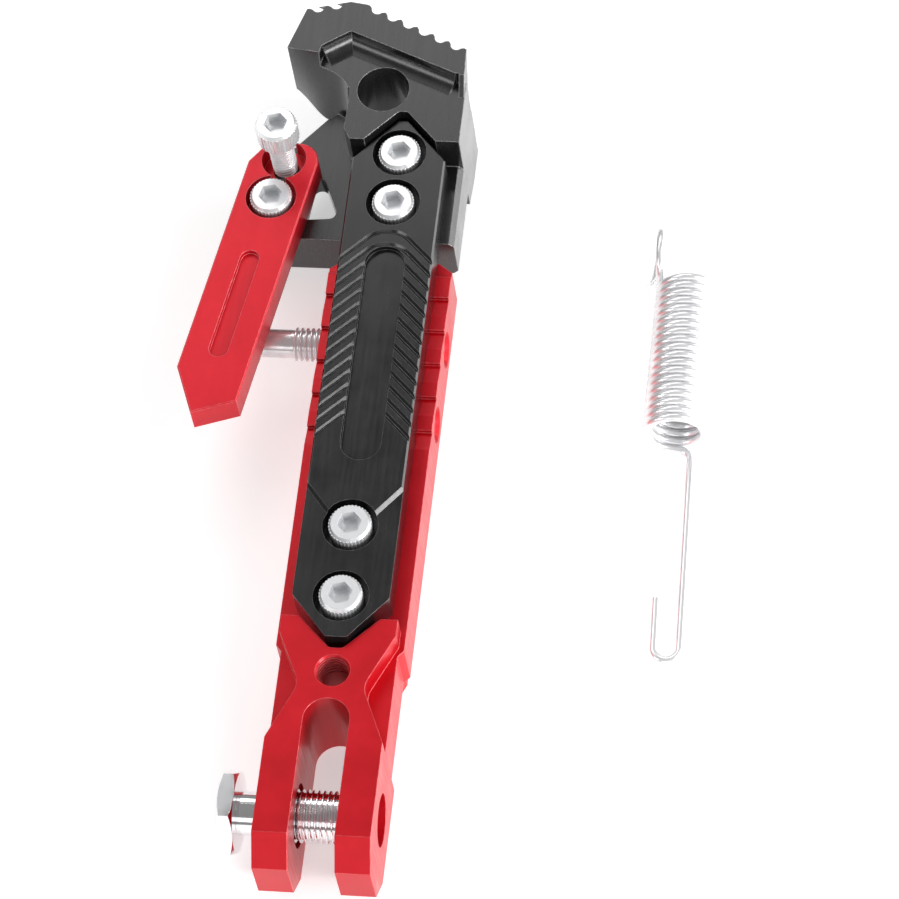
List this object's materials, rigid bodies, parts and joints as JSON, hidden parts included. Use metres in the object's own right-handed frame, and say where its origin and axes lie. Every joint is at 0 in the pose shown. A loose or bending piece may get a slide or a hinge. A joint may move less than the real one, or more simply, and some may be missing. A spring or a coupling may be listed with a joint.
{
  "type": "adjustable motorcycle kickstand",
  "caption": "Machined side stand with a clevis leg, a sliding rack extension, a toothed foot, a swinging lever, a pivot bolt and a separate hooked return spring.",
  "frame": {"origin": "centre of the clevis, on the pivot bolt's axis", "axes": "+X along the pivot axis towards the threaded ear, +Y along the leg towards the foot, +Z out of the face that carries the extension plate"},
  "size_m": [0.1226, 0.2213, 0.0414],
  "materials": {
    "red_anodised": "machined, red anodised, satin",
    "red_lever": "machined, bright red anodised, satin",
    "black_plate": "machined, black anodised, satin",
    "black_foot": "black anodised, satin with a glossy cove",
    "zinc_steel": "bright zinc plated",
    "bolt_steel": "bright chrome plated",
    "spring_steel": "bright zinc plated wire",
    "brass_bush": "plain",
    "plain_steel": "plain"
  },
  "bodies": {
    "leg_body": {"leg": "red_anodised", "spring_post": "zinc_steel"},
    "extension_body": {"extension_plate": "black_plate", "foot": "black_foot", "plate_screw_1": "zinc_steel", "plate_screw_2": "zinc_steel", "plate_screw_3": "zinc_steel", "plate_screw_4": "zinc_steel", "slot_nut_1": "plain_steel", "slot_nut_2": "plain_steel", "dowel_1": "plain_steel", "dowel_2": "plain_steel", "lever_pivot_screw": "zinc_steel", "lever_bush": "brass_bush"},
    "lever_body": {"lever": "red_lever"},
    "lock_screw_body": {"lever_lock_screw": "zinc_steel"},
    "bolt_body": {"pivot_bolt": "bolt_steel"},
    "spring_body": {"return_spring": "spring_steel"}
  },
  "joints": [
    {"name": "extension_slide", "type": "slide", "parent": "leg_body", "child": "extension_body", "axis": [0, 1, 0], "range_m": [0, 0.036]},
    {"name": "lever_hinge", "type": "hinge", "parent": "extension_body", "child": "lever_body", "pos_m": [-0.0294, 0.154, 0.01], "axis": [0, 0, 1], "range_deg": [-90, 0]},
    {"name": "lock_screw_travel", "type": "slide", "parent": "lever_body", "child": "lock_screw_body", "axis": [0, 0, 1], "range_m": [-0.0022, 0.004]},
    {"name": "bolt_travel", "type": "slide", "parent": "leg_body", "child": "bolt_body", "axis": [1, 0, 0], "range_m": [-0.02, 0.0055]},
    {"name": "spring_lift", "type": "slide", "parent": "leg_body", "child": "spring_body", "axis": [0, 0, 1], "range_m": [0, 0.1]}
  ]
}
